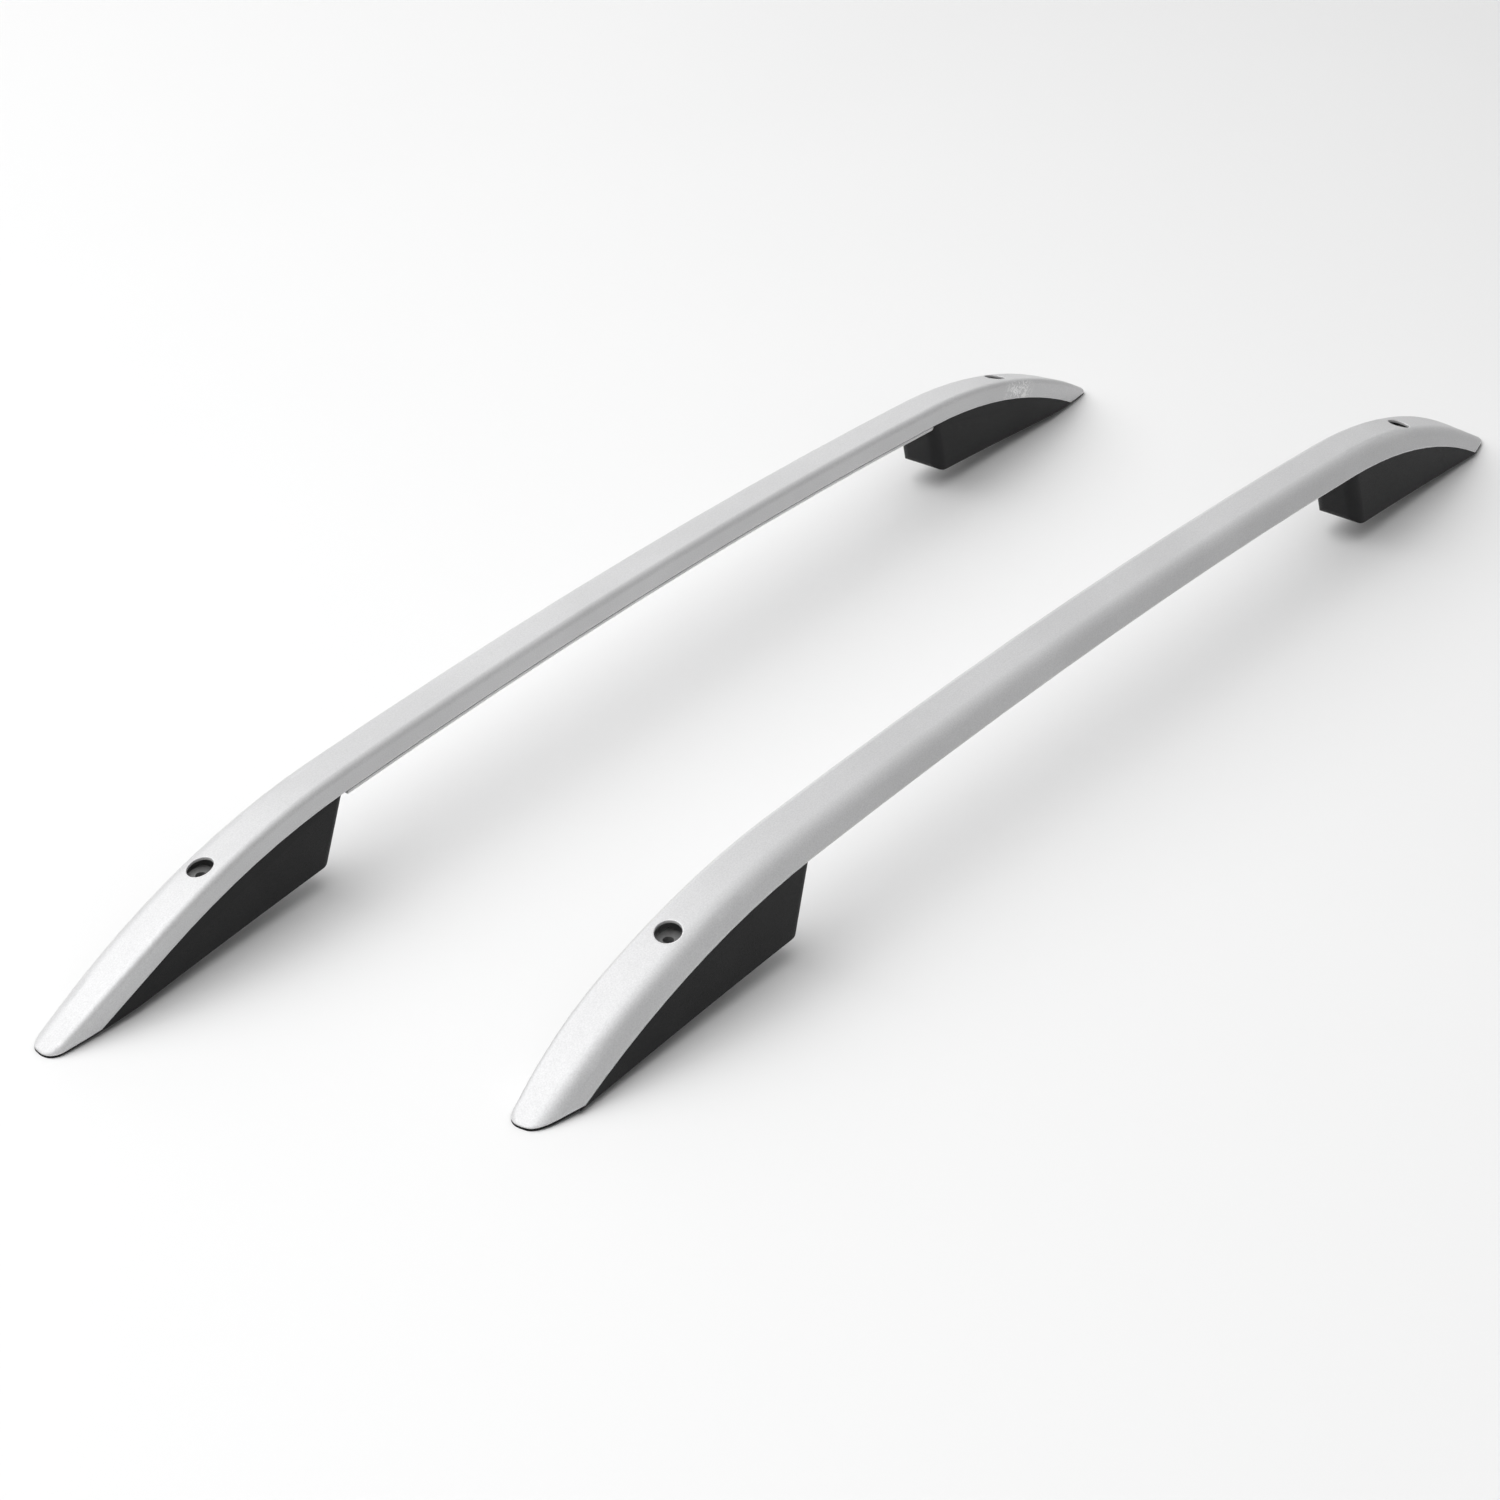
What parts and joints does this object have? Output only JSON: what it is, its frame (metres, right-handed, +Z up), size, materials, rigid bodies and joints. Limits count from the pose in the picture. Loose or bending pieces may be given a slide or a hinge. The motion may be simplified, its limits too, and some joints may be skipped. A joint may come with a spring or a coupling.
{
  "type": "pair of roof rails",
  "caption": "Two mirror-image arched roof rails of bent hollow aluminium on black moulded feet, bolted to a car roof through holes in the rail's top.",
  "frame": {"origin": "centre of the pair's bounding box, at the plane that the noses of the feet rest on", "axes": "+X along the left rail towards its front end, +Y towards the left rail, +Z up"},
  "size_m": [1.6422, 0.4514, 0.1162],
  "materials": {
    "rail_aluminium": "satin anodised",
    "foot_plastic": "fine grain",
    "steel": "zinc plated",
    "bare_aluminium": "sawn and blasted",
    "pad_rubber": "matte"
  },
  "bodies": {
    "root": {"left_rail": "rail_aluminium", "left_front_foot": "foot_plastic", "left_front_bolt_sleeve": "steel", "left_front_roof_pad": "pad_rubber", "left_front_seat_wedge": "bare_aluminium", "left_front_foot_screw": "steel", "left_rear_foot": "foot_plastic", "left_rear_bolt_sleeve": "steel", "left_rear_roof_pad": "pad_rubber", "left_rear_seat_wedge": "bare_aluminium", "left_rear_foot_screw": "steel", "right_rail": "rail_aluminium", "right_front_foot": "foot_plastic", "right_front_bolt_sleeve": "steel", "right_front_roof_pad": "pad_rubber", "right_front_seat_wedge": "bare_aluminium", "right_front_foot_screw": "steel", "right_rear_foot": "foot_plastic", "right_rear_bolt_sleeve": "steel", "right_rear_roof_pad": "pad_rubber", "right_rear_seat_wedge": "bare_aluminium", "right_rear_foot_screw": "steel"}
  },
  "joints": []
}
